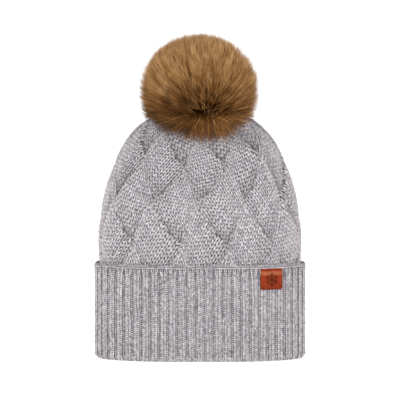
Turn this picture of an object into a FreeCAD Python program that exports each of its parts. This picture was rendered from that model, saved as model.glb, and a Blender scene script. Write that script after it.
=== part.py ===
import FreeCAD, Part
import math
import os

os.makedirs("parts", exist_ok=True)
Vector = FreeCAD.Vector

# A knitted pom pom beanie, standing on its folded rim, lightly puffed out.
# Millimetres, +Z up, the front of the hat faces -Y. The origin is the centre
# of the rim's footprint.

# --- knit -----------------------------------------------------------------
cuff_half_width = 105.75       # outside of the turned-up cuff, along X
cuff_height = 94.5
knit_thickness = 4.5           # one layer of knit
cuff_thickness = 4.85          # the outer, turned-up layer
layer_gap = 0.5                # between the two layers of the cuff
fold_height = 5.0              # height of the U turn at the rim
rim_rounding = 2.5             # how far the fold's foot draws in
section_power = 2.5            # the plan shape is a superellipse of this power
section_points = 32

crown_half_width = 100.4
crown_half_depth = 56.0
crown_taper_start = 125.0      # the crown is straight below this height
crown_top = 249.0
taper_power = 1.6
taper_root = 3.3
top_roundness = 0.23           # how much rounder the plan gets towards the top

dimple_floor = 241.0           # the gathered centre, pulled down by the pom
dimple_radius = 28.0
gather_hole_radius = 5.0

# --- snap fastener, on the vertical axis ----------------------------------
felt_radius = 13.0
felt_thickness = 2.0
felt_top = 235.6
cap_radius = 7.5
cap_thickness = 1.0
cap_post_radius = 1.4
stud_base = 242.4
stud_flange_radius = 6.2
stud_flange_thickness = 0.8
stud_neck_radius = 2.3
stud_head_radius = 2.9
stud_top = 246.4
socket_base = 243.6
socket_radius = 6.4
socket_top = 248.1
socket_bore_radius = 3.2
socket_bore_top = 247.1
socket_rounding = 0.6
eyelet_barrel_radius = 2.2
eyelet_hole_radius = 1.5
eyelet_flange_radius = 6.2
eyelet_flange_thickness = 0.8

# --- pom ------------------------------------------------------------------
pom_centre = 269.5
pom_radius = 58.0
pom_top = 325.5
pom_core_radius = 22.0
backing_thickness = 1.5
backing_foot = 248.4           # flat foot of the core, over the snap
backing_floor = 250.1
fur_clearance = 0.3
thread_ring_radius = 8.0
thread_radius = 0.5

# --- yarns, label and care label ------------------------------------------
gather_ring_radius = 8.5
gather_yarn_radius = 1.0
seam_width = 5.0
seam_thickness = 1.6
label_left = 59.6
label_width = 22.0
label_foot = 71.6
label_height = 20.8
label_thickness = 1.6
stitch_radius = 0.35
stitch_length = 2.4
care_label_left = 6.0
care_label_width = 26.0
care_label_foot = 34.0
care_label_height = 46.0
care_label_thickness = 0.8

skin_gap = 0.3                 # between pieces that lie against each other

UP = Vector(0, 0, 1)


def export(name, shape):
    shape.exportStep("parts/" + name + ".step")
    print(name, "valid", shape.isValid(), "volume", round(shape.Volume, 1))


def section(half_width, half_depth, height):
    """One closed horizontal outline: a superellipse at the given height."""
    points = []
    for index in range(section_points):
        angle = 2 * math.pi * index / section_points
        across = abs(math.cos(angle)) ** (2 / section_power)
        along = abs(math.sin(angle)) ** (2 / section_power)
        x = math.copysign(half_width * across, math.cos(angle))
        y = math.copysign(half_depth * along, math.sin(angle))
        points.append(Vector(x, y, height))
    curve = Part.BSplineCurve()
    curve.interpolate(Points=points, PeriodicFlag=True)
    return Part.Wire([curve.toShape()])


def stack(outlines):
    """A solid through horizontal outlines given as (half width, half depth, height)."""
    return Part.makeLoft([section(*outline) for outline in outlines], True, False)


def straight_tube(inset, low, high):
    """The plan of the crown's straight stretch, drawn in by an inset, as a prism."""
    outline = section(crown_half_width - inset, crown_half_depth - inset, low)
    return Part.Face(outline).extrude(Vector(0, 0, high - low))


def crown_outline(inset, share):
    """Crown outline at a share of the way up its taper, drawn in by an inset."""
    top = crown_top - inset
    height = crown_taper_start + share * (top - crown_taper_start)
    scale = (1 - share ** taper_power) ** (1 / taper_root)
    half_width = (crown_half_width - inset) * scale
    base_ratio = (crown_half_depth - inset) / (crown_half_width - inset)
    half_depth = half_width * (base_ratio + top_roundness * share ** 2)
    return half_width, half_depth, height


def crown_solid(inset, foot):
    """The crown's filled shape, drawn in by an inset, from its foot upwards."""
    shares = (0.0, 0.12, 0.24, 0.36, 0.48, 0.6, 0.71, 0.8, 0.87, 0.925, 0.963, 0.985, 0.995)
    dome = stack([crown_outline(inset, share) for share in shares])
    return dome.fuse(straight_tube(inset, foot, crown_taper_start))


def dimple(extra):
    """The bowl that the pom presses into the crown, enlarged by extra."""
    depth = crown_top - dimple_floor
    radius = (dimple_radius ** 2 + depth ** 2) / (2 * depth)
    return Part.makeSphere(radius + extra, Vector(0, 0, dimple_floor + radius))


def disc(radius, low, high):
    return Part.makeCylinder(radius, high - low, Vector(0, 0, low), UP)


def ring(outer, inner, low, high):
    return disc(outer, low, high).cut(disc(inner, low - 1, high + 1))


def block(low, high):
    return Part.makeBox(high[0] - low[0], high[1] - low[1], high[2] - low[2], Vector(*low))


def make_crown():
    outer = crown_solid(0, cuff_height).cut(dimple(0))
    hollow = crown_solid(knit_thickness, cuff_height - 1).cut(dimple(knit_thickness))
    hole = disc(gather_hole_radius, dimple_floor - 20, crown_top + 5)
    return outer.cut(hollow).cut(hole)


def make_inner_band():
    outer = straight_tube(0, fold_height, cuff_height)
    return outer.cut(straight_tube(knit_thickness, fold_height - 1, cuff_height + 1))


def make_cuff():
    """The turned-up layer and the U turn at its foot, with a flat ring to stand on."""
    grow = layer_gap + cuff_thickness
    wide = crown_half_width + grow
    deep = crown_half_depth + grow
    foot = stack([
        (wide - rim_rounding, deep - rim_rounding, 0.0),
        (wide - 0.6 * rim_rounding, deep - 0.6 * rim_rounding, 0.6),
        (wide - 0.2 * rim_rounding, deep - 0.2 * rim_rounding, 2.0),
        (wide, deep, fold_height),
    ])
    wall = straight_tube(-grow, fold_height, cuff_height)
    room_for_band = straight_tube(-layer_gap, fold_height, cuff_height + 1)
    head_hole = straight_tube(knit_thickness, -1, fold_height + 1)
    return foot.fuse(wall).cut(room_for_band).cut(head_hole)


def make_back_seam():
    """Linked seam that stands proud inside the hat, up the middle of the back."""
    strip = block((-seam_width / 2, 0, fold_height + 1), (seam_width / 2, 80, 225))
    proud = knit_thickness + skin_gap
    outer = crown_solid(proud, fold_height)
    inner = crown_solid(proud + seam_thickness, fold_height - 1)
    return outer.cut(inner).common(strip)


def make_snap_cap():
    base = felt_top - felt_thickness - cap_thickness
    head = disc(cap_radius, base, base + cap_thickness)
    post = disc(cap_post_radius, base, stud_top - 1.2)
    return head.fuse(post)


def make_felt_washer():
    return ring(felt_radius, stud_neck_radius, felt_top - felt_thickness, felt_top)


def make_snap_stud():
    """Flange, waisted neck and ball head, turned about the snap's axis."""
    inner = cap_post_radius + 0.05
    neck_start = stud_base + stud_flange_thickness
    outline = [
        Vector(inner, 0, felt_top + 0.2),
        Vector(stud_neck_radius, 0, felt_top + 0.2),
        Vector(stud_neck_radius, 0, stud_base),
        Vector(stud_flange_radius, 0, stud_base),
        Vector(stud_flange_radius, 0, neck_start),
        Vector(stud_neck_radius, 0, neck_start),
        Vector(stud_neck_radius, 0, stud_top - 2.0),
        Vector(stud_head_radius, 0, stud_top - 1.3),
        Vector(stud_head_radius - 0.5, 0, stud_top),
        Vector(inner, 0, stud_top),
    ]
    return turned(outline)


def turned(outline):
    face = Part.Face(Part.makePolygon(outline + [outline[0]]))
    return face.revolve(Vector(0, 0, 0), UP, 360)


def make_snap_socket():
    """A rounded can with a bore for the stud's head and a hole for the eyelet's barrel."""
    body = disc(socket_radius, socket_base, socket_top)
    rims = [edge for edge in body.Edges if edge.Closed]
    rounded = body.makeFillet(socket_rounding, rims)
    bore = disc(socket_bore_radius, socket_base - 1, socket_bore_top)
    barrel_hole = disc(eyelet_barrel_radius + 0.1, socket_bore_top - 1, socket_top + 1)
    return rounded.cut(bore).cut(barrel_hole)


def make_snap_eyelet():
    flange_top = backing_floor + eyelet_flange_thickness
    flange = disc(eyelet_flange_radius, backing_floor, flange_top)
    barrel = disc(eyelet_barrel_radius, socket_bore_top + 0.2, flange_top)
    return flange.fuse(barrel).cut(disc(eyelet_hole_radius, 200, 300))


def core(radius, floor):
    """A ball about the pom's centre, cut flat at its floor."""
    ball = Part.makeSphere(radius, Vector(0, 0, pom_centre))
    return ball.cut(block((-100, -100, pom_centre - 100), (100, 100, floor)))


def make_pom_backing():
    shell = core(pom_core_radius, backing_foot)
    hollow = core(pom_core_radius - backing_thickness, backing_floor)
    return shell.cut(hollow).cut(disc(eyelet_barrel_radius + 0.1, 200, pom_centre))


def make_pom_stuffing():
    floor = backing_floor + eyelet_flange_thickness + skin_gap
    return core(pom_core_radius - backing_thickness - skin_gap, floor)


def make_pom_thread():
    height = backing_foot - skin_gap - thread_radius + 0.6
    return Part.makeTorus(thread_ring_radius, thread_radius, Vector(0, 0, height), UP)


def make_fur_pile():
    """The ball of fur: a squashed sphere hollowed for the core, open over the snap.

    Its underside is a shallow funnel that clears the crown as the pom tilts."""
    ball = Part.makeSphere(1.0, Vector(0, 0, 0))
    stretch = FreeCAD.Matrix()
    stretch.scale(pom_radius, pom_radius, pom_top - pom_centre)
    ball = ball.transformGeometry(stretch)
    ball.translate(Vector(0, 0, pom_centre))
    under = turned([
        Vector(0, 0, 200),
        Vector(80, 0, 200),
        Vector(80, 0, 236.0),
        Vector(57, 0, 244.0),
        Vector(44, 0, 250.0),
        Vector(30, 0, 253.0),
        Vector(10.5, 0, 251.5),
        Vector(10.5, 0, 255.0),
        Vector(0, 0, 255.0),
    ])
    core_room = Part.makeSphere(pom_core_radius + fur_clearance, Vector(0, 0, pom_centre))
    return ball.cut(under).cut(core_room)


def skin(low_gap, thickness, low, high, front):
    """A thin patch lying on the cuff's outside (front) or on the band's inside."""
    grow = layer_gap + cuff_thickness
    if front:
        outer = straight_tube(-(grow + low_gap + thickness), low[2], high[2])
        inner = straight_tube(-(grow + low_gap), low[2] - 1, high[2] + 1)
    else:
        outer = straight_tube(knit_thickness + low_gap, low[2], high[2])
        inner = straight_tube(knit_thickness + low_gap + thickness, low[2] - 1, high[2] + 1)
    return outer.cut(inner).common(block(low, high))


def make_label():
    low = (label_left, -90, label_foot)
    high = (label_left + label_width, 0, label_foot + label_height)
    return skin(skin_gap, label_thickness, low, high, True)


def cuff_front(x):
    """Y of the cuff's outside at the front, at a given X."""
    half_width = crown_half_width + layer_gap + cuff_thickness
    half_depth = crown_half_depth + layer_gap + cuff_thickness
    share = 1 - (abs(x) / half_width) ** section_power
    return -half_depth * share ** (1 / section_power)


def make_label_stitches():
    """Short tacking stitches behind the label's top and foot that hold it to the knit."""
    stitches = []
    for height in (label_foot + 2, label_foot + label_height - 2):
        for index in range(4):
            x = label_left + label_width * (index + 0.5) / 4
            start = Vector(x, cuff_front(x) - skin_gap / 2, height)
            inward = Vector(-0.25, 1, 0).normalize()
            stitches.append(Part.makeCylinder(stitch_radius, stitch_length, start, inward))
    return Part.makeCompound(stitches)


def make_care_label():
    low = (care_label_left, 0, care_label_foot)
    high = (care_label_left + care_label_width, 90, care_label_foot + care_label_height)
    return skin(2 * skin_gap, care_label_thickness, low, high, False)


def make_care_label_stitches():
    """A row of stitches along the care label's top, on the face towards the head."""
    stitches = []
    top = care_label_foot + care_label_height
    proud = knit_thickness + 2 * skin_gap + care_label_thickness + stitch_radius
    half_width = crown_half_width - proud - 0.1
    half_depth = crown_half_depth - proud - 0.1
    for index in range(6):
        x = care_label_left + care_label_width * (index + 0.5) / 6
        y = half_depth * (1 - (x / half_width) ** section_power) ** (1 / section_power)
        start = Vector(x - stitch_length / 2, y - 0.15, top - 3)
        stitches.append(Part.makeCylinder(stitch_radius, stitch_length, start, Vector(1, 0, 0)))
    return Part.makeCompound(stitches)


def make_gathering_yarn():
    height = dimple_floor + 1.9
    return Part.makeTorus(gather_ring_radius, gather_yarn_radius, Vector(0, 0, height), UP)


pieces = {
    "crown_knit": make_crown,
    "inner_rib_band": make_inner_band,
    "turned_up_cuff": make_cuff,
    "centre_back_seam": make_back_seam,
    "crown_gathering_yarn": make_gathering_yarn,
    "felt_washer": make_felt_washer,
    "snap_cap": make_snap_cap,
    "snap_stud": make_snap_stud,
    "snap_socket": make_snap_socket,
    "snap_eyelet": make_snap_eyelet,
    "pom_backing": make_pom_backing,
    "pom_stuffing": make_pom_stuffing,
    "pom_gathering_thread": make_pom_thread,
    "fur_pile": make_fur_pile,
    "leather_label": make_label,
    "label_stitches": make_label_stitches,
    "care_label": make_care_label,
    "care_label_stitches": make_care_label_stitches,
}
for name, make in pieces.items():
    export(name, make())
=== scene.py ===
# A knitted pom pom beanie round the CAD frame: a cabled crown, a turned-up ribbed cuff, a
# leather label and a fur pom on a snap. Lengths are in millimetres, up to where MM is used.

import math

import bpy
import numpy as np
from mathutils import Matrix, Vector


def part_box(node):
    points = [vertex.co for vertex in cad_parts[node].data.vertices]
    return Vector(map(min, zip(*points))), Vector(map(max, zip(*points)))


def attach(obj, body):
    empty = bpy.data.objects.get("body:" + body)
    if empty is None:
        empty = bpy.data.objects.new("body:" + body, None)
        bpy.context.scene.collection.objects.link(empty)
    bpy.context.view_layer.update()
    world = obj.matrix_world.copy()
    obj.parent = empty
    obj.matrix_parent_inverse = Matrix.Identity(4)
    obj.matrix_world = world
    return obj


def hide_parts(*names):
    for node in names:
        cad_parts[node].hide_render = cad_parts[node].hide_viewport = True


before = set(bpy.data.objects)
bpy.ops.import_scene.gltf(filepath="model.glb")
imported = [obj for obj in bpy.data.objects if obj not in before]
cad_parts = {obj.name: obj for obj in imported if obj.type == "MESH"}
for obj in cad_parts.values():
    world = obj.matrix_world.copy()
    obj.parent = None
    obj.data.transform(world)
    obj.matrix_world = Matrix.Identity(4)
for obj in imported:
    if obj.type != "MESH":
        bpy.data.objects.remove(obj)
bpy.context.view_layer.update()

MM = 0.001

# --- sizes taken from the frame, in millimetres ----------------------------


def box_mm(node):
    """Lowest and highest corner of a CAD node, in millimetres."""
    low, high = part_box(node)
    return np.array(low) / MM, np.array(high) / MM


cuff_low, cuff_high = box_mm("turned_up_cuff")
band_low, band_high = box_mm("inner_rib_band")
fur_low, fur_high = box_mm("fur_pile")
label_low, label_high = box_mm("leather_label")
care_low, care_high = box_mm("care_label")
backing_low, backing_high = box_mm("pom_backing")
felt_low, felt_high = box_mm("felt_washer")
gather_low, gather_high = box_mm("crown_gathering_yarn")
thread_low, thread_high = box_mm("pom_gathering_thread")
stuffing_low, stuffing_high = box_mm("pom_stuffing")
seam_low, seam_high = box_mm("centre_back_seam")

CROWN_WIDE = (band_high[0] - band_low[0]) / 2      # half width and depth of the knit tube
CROWN_DEEP = (band_high[1] - band_low[1]) / 2
CUFF_GROW = (cuff_high[0] - cuff_low[0]) / 2 - CROWN_WIDE
CUFF_TOP = cuff_high[2]
KNIT = 4.5                                         # thickness of one layer of knit
POST_HOLE = 2.6                                    # in the felt and the backing, for the snap
BACKING = 1.4                                      # thickness of the pom's woven backing

# The crown's outline, as in the design: a superellipse plan that tapers to a dome.
POWER = 2.5
TAPER_START = 125.0
CROWN_TOP = 249.0
TAPER_POWER = 1.6
TAPER_ROOT = 3.3
TOP_ROUNDNESS = 0.23
DIMPLE_FLOOR = 241.0
DIMPLE_RADIUS = 28.0
GATHER_HOLE = 5.5

# --- mesh building ---------------------------------------------------------


def new_mesh(name, points, loops, totals):
    """A smooth shaded mesh object: points in mm, the faces' corners, and how many each face has."""
    mesh = bpy.data.meshes.new(name)
    starts = np.concatenate([[0], np.cumsum(totals)[:-1]])
    points = np.asarray(points, dtype=np.float32).reshape(-1, 3) * MM
    mesh.vertices.add(len(points))
    mesh.vertices.foreach_set("co", points.ravel())
    mesh.loops.add(len(loops))
    mesh.loops.foreach_set("vertex_index", np.asarray(loops, dtype=np.int32))
    mesh.polygons.add(len(starts))
    mesh.polygons.foreach_set("loop_start", np.asarray(starts, dtype=np.int32))
    mesh.polygons.foreach_set("loop_total", np.asarray(totals, dtype=np.int32))
    mesh.polygons.foreach_set("use_smooth", np.full(len(starts), True))
    mesh.update(calc_edges=True)
    mesh.validate()
    piece = bpy.data.objects.new(name, mesh)
    bpy.context.scene.collection.objects.link(piece)
    return piece


def mesh_from_faces(name, points, faces):
    """A mesh object from points and a plain list of faces."""
    return new_mesh(name, points, np.concatenate(faces), [len(face) for face in faces])


def quad_mesh(name, points, quads):
    """A mesh object from points and an array of four-cornered faces."""
    return new_mesh(name, points, quads.ravel(), np.full(len(quads), 4))


def copies(name, template, placed):
    """One mesh from many placed copies of a template; placed is (copies, points, 3)."""
    count, per_copy = placed.shape[:2]
    loops = np.concatenate(template["faces"])
    all_loops = loops[None, :] + per_copy * np.arange(count)[:, None]
    totals = [len(face) for face in template["faces"]]
    return new_mesh(name, placed, all_loops.ravel(), np.tile(totals, count))


def strand_template(sides, rings, radius_of, bow):
    """A tapered, bowed strand along local Y, from -0.5 to 0.5, of unit thickness across."""
    points = []
    faces = []
    for ring in range(rings):
        along = ring / (rings - 1)
        radius = 0.5 * radius_of(along)
        lift = bow * (1 - (2 * along - 1) ** 2)
        for side in range(sides):
            angle = 2 * math.pi * side / sides
            points.append((radius * math.cos(angle), along - 0.5, radius * math.sin(angle) + lift))
    for ring in range(rings - 1):
        for side in range(sides):
            after = (side + 1) % sides
            low = ring * sides
            faces.append((low + side, low + sides + side, low + sides + after, low + after))
    faces.append(tuple(range(sides)))
    faces.append(tuple(reversed(range((rings - 1) * sides, rings * sides))))
    return {"points": np.array(points), "faces": faces}


def place(template, centres, across, along, out, width, length, thickness):
    """Copies of a template at centres, with given unit axes (n, 3) and sizes (n,)."""
    local = template["points"]
    parts = (
        local[None, :, 0, None] * across[:, None, :] * width[:, None, None],
        local[None, :, 1, None] * along[:, None, :] * length[:, None, None],
        local[None, :, 2, None] * out[:, None, :] * thickness[:, None, None],
    )
    return centres[:, None, :] + parts[0] + parts[1] + parts[2]


def unit(vectors):
    """The same directions with length one."""
    return vectors / np.maximum(np.linalg.norm(vectors, axis=-1, keepdims=True), 1e-9)


def grid_shell(name, outer, inner, wrap):
    """A closed skin between two grids of points (rows, columns, 3), wrapping round or not."""
    rows, columns = outer.shape[:2]
    count = rows * columns
    index = np.arange(count).reshape(rows, columns)
    after = np.roll(index, -1, axis=1) if wrap else index[:, 1:]
    here = index if wrap else index[:, :-1]
    outside = np.stack([here[:-1], after[:-1], after[1:], here[1:]], -1).reshape(-1, 4)
    inside = outside[:, ::-1] + count
    low = np.stack([here[0], here[0] + count, after[0] + count, after[0]], -1).reshape(-1, 4)
    high = np.stack([here[-1], after[-1], after[-1] + count, here[-1] + count], -1).reshape(-1, 4)
    quads = [outside, inside, low, high]
    if not wrap:
        first = index[:, 0]
        last = index[:, -1]
        quads.append(np.stack([first[:-1], first[1:], first[1:] + count, first[:-1] + count], -1))
        quads.append(np.stack([last[:-1], last[:-1] + count, last[1:] + count, last[1:]], -1))
    quads = np.concatenate(quads)
    points = np.concatenate([outer.reshape(-1, 3), inner.reshape(-1, 3)])
    return quad_mesh(name, points, quads)


def tube(name, path, radius, sides, closed=False):
    """A round thread along a path of points (n, 3); radius is one number or one per point."""
    path = np.asarray(path, dtype=float)
    count = len(path)
    radius = np.broadcast_to(np.asarray(radius, dtype=float), (count,))
    if closed:
        ahead = np.roll(path, -1, axis=0) - np.roll(path, 1, axis=0)
    else:
        ahead = np.gradient(path, axis=0)
    ahead = unit(ahead)
    guide = np.where(np.abs(ahead[:, 2:]) < 0.9, np.array([0, 0, 1.0]), np.array([1.0, 0, 0]))
    first = unit(np.cross(ahead, guide))
    second = np.cross(ahead, first)
    angle = 2 * math.pi * np.arange(sides) / sides
    rings = first[:, None] * np.cos(angle)[None, :, None] + second[:, None] * np.sin(angle)[None, :, None]
    points = path[:, None] + rings * radius[:, None, None]
    index = np.arange(count * sides).reshape(count, sides)
    low = index if closed else index[:-1]
    high = np.roll(index, -1, axis=0) if closed else index[1:]
    walls = np.stack([low, np.roll(low, -1, 1), np.roll(high, -1, 1), high], -1).reshape(-1, 4)
    faces = [tuple(face) for face in walls]
    if not closed:
        faces.append(tuple(index[0, ::-1]))
        faces.append(tuple(index[-1]))
    return mesh_from_faces(name, points.reshape(-1, 3), faces)


def lathe(name, profile, count, roughen, seed, pleat=None):
    """A closed profile of (radius, height) turned about the vertical axis, slightly uneven."""
    profile = np.array(profile, dtype=float)
    angle = 2 * math.pi * np.arange(count) / count
    radius = np.repeat(profile[:, None, 0], count, axis=1)
    height = np.repeat(profile[:, None, 1], count, axis=1)
    if roughen:
        wobble = np.random.default_rng(seed)
        radius = radius + wobble.normal(0, roughen, radius.shape)
        height = height + wobble.normal(0, roughen, height.shape)
    if pleat:
        radius, height = pleat(radius, height, angle[None, :])
    points = np.stack([radius * np.sin(angle), -radius * np.cos(angle), height], -1)
    index = np.arange(len(profile) * count).reshape(len(profile), count)
    after = np.roll(index, -1, axis=0)
    quads = np.stack([index, np.roll(index, -1, 1), np.roll(after, -1, 1), after], -1).reshape(-1, 4)
    return quad_mesh(name, points, quads)


def smooth_step(value):
    """An S curve from 0 at 0 to 1 at 1."""
    value = np.clip(value, 0, 1)
    return value * value * (3 - 2 * value)


def noise_wave(values, seed):
    """Smooth repeatable noise in about -1 to 1 along an array of values."""
    wobble = np.random.default_rng(seed)
    total = np.zeros_like(values, dtype=float)
    for octave in range(4):
        phase = wobble.uniform(0, 2 * math.pi)
        total += np.sin(values * (octave + 1) * wobble.uniform(0.7, 1.3) + phase) / (octave + 1)
    return total / 2


# --- the hat's surface -----------------------------------------------------

AROUND = 720          # samples round each level of the surface table


def plan_ring(half_width, half_depth):
    """Points equally spaced round a superellipse, from the front towards +X."""
    angle = np.linspace(-math.pi / 2, 1.5 * math.pi, 2881)
    cosine, sine = np.cos(angle), np.sin(angle)
    x = half_width * np.sign(cosine) * np.abs(cosine) ** (2 / POWER)
    y = half_depth * np.sign(sine) * np.abs(sine) ** (2 / POWER)
    arc = np.concatenate([[0], np.cumsum(np.hypot(np.diff(x), np.diff(y)))])
    want = np.linspace(0, arc[-1], AROUND + 1)[:-1]
    return np.stack([np.interp(want, arc, x), np.interp(want, arc, y)], -1), arc[-1]


def crown_levels():
    """(half width, half depth, height) up the crown, from inside the cuff to the hole."""
    levels = [(CROWN_WIDE, CROWN_DEEP, z) for z in np.linspace(4, TAPER_START, 30)[:-1]]
    turn = np.linspace(0, math.pi / 2, 160)
    shares = np.sin(turn) * 0.995
    base_ratio = CROWN_DEEP / CROWN_WIDE
    for share in shares:
        scale = (1 - share ** TAPER_POWER) ** (1 / TAPER_ROOT)
        wide = CROWN_WIDE * scale
        deep = wide * (base_ratio + TOP_ROUNDNESS * share ** 2)
        levels.append((wide, deep, TAPER_START + share * (CROWN_TOP - TAPER_START)))
    wide, deep, height = levels[-1]
    depth = CROWN_TOP - DIMPLE_FLOOR
    bowl = (DIMPLE_RADIUS ** 2 + depth ** 2) / (2 * depth)
    for step in np.linspace(0, 1, 30)[1:]:
        radius = wide + step * (GATHER_HOLE - wide)
        deep_here = deep + step * (GATHER_HOLE - deep)
        mean = (radius + deep_here) / 2
        sunk = DIMPLE_FLOOR + bowl - math.sqrt(bowl ** 2 - mean ** 2)
        levels.append((radius, deep_here, min(height, sunk + 0.9 * (1 - step))))
    return np.array(levels)


def build_table():
    """The surface as a grid: arc length up the hat by share of the way round."""
    levels = crown_levels()
    step = np.hypot(np.diff(levels[:, 0] + levels[:, 1]) / 2, np.diff(levels[:, 2]))
    arc = np.concatenate([[0], np.cumsum(step)]) + levels[0, 2]
    count = 540
    even = np.linspace(arc[0], arc[-1], count)
    rows = [np.interp(even, arc, levels[:, column]) for column in range(3)]
    kernel = np.ones(9) / 9
    for column in range(3):
        padded = np.pad(rows[column], 4, mode="edge")
        smooth = np.convolve(padded, kernel, mode="valid")
        smooth[:8] = rows[column][:8]
        smooth[-6:] = rows[column][-6:]
        rows[column] = smooth
    grid = np.zeros((count, AROUND, 3))
    for index in range(count):
        ring, _ = plan_ring(rows[0][index], rows[1][index])
        grid[index, :, :2] = ring
        grid[index, :, 2] = rows[2][index]
    round_way = np.roll(grid, -1, axis=1) - np.roll(grid, 1, axis=1)
    up_way = np.gradient(grid, axis=0)
    normal = unit(np.cross(round_way, up_way))
    return grid, normal, even


TABLE, TABLE_NORMAL, TABLE_ARC = build_table()
BASE_RING, BASE_LENGTH = plan_ring(CROWN_WIDE, CROWN_DEEP)
SIDE_SHARE = (BASE_RING[:, 0] / CROWN_WIDE) ** 2


def sample(table, share, arc):
    """Bilinear reading of a surface table at shares of the way round and arc lengths."""
    row = (arc - TABLE_ARC[0]) / (TABLE_ARC[1] - TABLE_ARC[0])
    row = np.clip(row, 0, len(TABLE_ARC) - 1.001)
    column = np.mod(share, 1.0) * AROUND
    row_low = np.floor(row).astype(int)
    column_low = np.floor(column).astype(int) % AROUND
    row_part = (row - row_low)[..., None]
    column_part = (column - np.floor(column))[..., None]
    column_high = (column_low + 1) % AROUND
    low = table[row_low, column_low] * (1 - column_part) + table[row_low, column_high] * column_part
    high = table[row_low + 1, column_low] * (1 - column_part)
    high = high + table[row_low + 1, column_high] * column_part
    return low * (1 - row_part) + high * row_part


def crown_point(share, arc, proud):
    """A point standing proud of the crown's surface, in mm."""
    return sample(TABLE, share, arc) + sample(TABLE_NORMAL, share, arc) * np.asarray(proud)[..., None]


def round_grid(count, way):
    """Shares of the way round and ways along the fabric, as a grid."""
    return np.meshgrid(np.arange(count) / count, way)


# --- the basket weave cable ------------------------------------------------

CABLES = 11                    # crossings side by side round the hat
CABLE_SHIFT = -0.4             # where the lowest row of crossings starts
CABLE_LEAN = -0.14             # every second row leans this far, in crossings
STITCH_WIDE = 4.0              # size of one stitch of the cable
STITCH_TALL = 4.3
STITCH_LIMIT = (5.6, 5.4)      # no stitch is wider or taller than this
ROW_JITTER = (0.03, 0.035)     # how far crossings stray, in cables and in rows
ROW_LIFT = 4.5                 # how much higher the rows ride at the side folds
POM_SHADE = 203.0              # the crown takes the pom's painted shadow above this height, under the fur
SNAP_ROOM = 3.5                # no stitch this close to the hole, where the snap's cap leans
CROSSING_FRONT = (19.0, 63.0, 107.0, 149.5, 187.0, 219.0)      # heights of the crossings
ARC_TOP = TABLE_ARC[-1]


def crossing_arcs():
    """Arc length of each crossing row at the hat's front, continued over the dome."""
    front = TABLE[:, 0, 2]
    rising = np.argmax(front)
    arcs = list(np.interp(CROSSING_FRONT, front[:rising], TABLE_ARC[:rising]))
    gap = 25.0
    while arcs[-1] + gap < ARC_TOP - 4:
        arcs.append(arcs[-1] + gap)
        gap *= 0.85
    arcs.append(ARC_TOP)
    return np.array(arcs)


CROSSING_ARC = crossing_arcs()
CROSSING_ROW = np.arange(len(CROSSING_ARC)) - 2.0


def read_ring(values, share):
    """Values for places between the points of a ring."""
    column = np.mod(share, 1.0) * AROUND
    low = np.floor(column).astype(int) % AROUND
    part = (column - np.floor(column))[..., None]
    return values[low] * (1 - part) + values[(low + 1) % AROUND] * part


def row_arc(share, row):
    """Arc length of a cable row; the rows ride higher towards the side folds."""
    arc = np.interp(row, CROSSING_ROW, CROSSING_ARC)
    side = read_ring(SIDE_SHARE[:, None], share)[..., 0]
    lift = ROW_LIFT * np.exp((arc - 112.0) / 48.0)
    fade = np.clip((ARC_TOP - arc) / 60.0, 0, 1)
    return np.clip(arc + lift * fade * side, 0, ARC_TOP)


def crossing(column, row, jitter):
    """Where four strands meet: cable column and row, nudged a little."""
    nudge = jitter[row % jitter.shape[0], column % CABLES]
    odd = row % 2
    return column + CABLE_SHIFT + (0.5 + CABLE_LEAN) * odd + nudge[0], row + nudge[1]


def strand_corners(column, row, jitter):
    """Corners of one visible strand as (start side A, end side A, start side B, end side B)."""
    odd = row % 2
    left = crossing(column - odd, row, jitter)
    right = crossing(column - odd + 1, row, jitter)
    top = crossing(column, row + 1, jitter)
    bottom = crossing(column, row - 1, jitter)
    return (right, top, bottom, left) if odd else (left, top, bottom, right)


def strand_field(corners, across, along):
    """Surface shares and arc lengths at places on a strand."""
    first, second, third, fourth = [np.array(corner, dtype=float) for corner in corners]
    across = across[..., None]
    along = along[..., None]
    place_at = (1 - across) * (1 - along) * first + (1 - across) * along * second
    place_at = place_at + across * (1 - along) * third + across * along * fourth
    share = place_at[..., 0] / CABLES
    return share, row_arc(share, place_at[..., 1])


def strand_crease(across, along):
    """Depth of the creases that run from the tucked corner and fade away from it."""
    side_near, end_near = 1 - across, np.clip(along, 0, 1)
    deep_side = np.clip(1 - end_near * 1.05, 0, 1) ** 0.8
    deep_end = np.clip(1 - side_near * 1.05, 0, 1) ** 0.8
    side_crease = np.exp(-(side_near / 0.20) ** 1.3) * (1.5 + 4.2 * deep_side ** 1.4)
    end_crease = np.exp(-(end_near / 0.18) ** 1.3) * (1.5 + 5.0 * deep_end ** 1.5)
    crease = np.hypot(side_crease, end_crease)
    return crease / (1 + (crease / 7.5) ** 3) ** (1 / 3)


def strand_relief(across, along, puff):
    """Height of a strand over the knit: pillowy, with its lowest corner tucked under.

    The creases start at that corner, where side B and the strand's start meet. The
    other two edges stay high and lie over the neighbours."""
    inner = np.clip(along, 0, 1)
    edge = 0.4 * np.exp(-(across / 0.08) ** 2) + 0.4 * np.exp(-((1 - inner) / 0.06) ** 2)
    swell = (np.clip(np.sin(math.pi * np.clip(across * 0.85 + 0.05, 0, 1)), 0, 1)
             * np.clip(np.sin(math.pi * np.clip(inner * 0.9 + 0.02, 0, 1)), 0, 1)) ** 0.6
    roll = np.clip(16 - 34 * puff, 2, 40)
    under = 14 * np.clip(-along, 0, 1) + 38 * np.clip(along - 1, 0, 1) + roll * np.clip(-across, 0, 1)
    return 2.0 * swell + puff - strand_crease(across, along) - edge - under


def knit_face(arc):
    """Where the crown's stitches lie, under the outline that the knit fills."""
    return -1.3 - 1.1 * smooth_step((arc - 118.0) / 45.0)


# --- materials -------------------------------------------------------------


def new_material(name):
    """A material that uses nodes, and its node tree."""
    material = bpy.data.materials.new(name)
    material.use_nodes = True
    return material, material.node_tree


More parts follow.
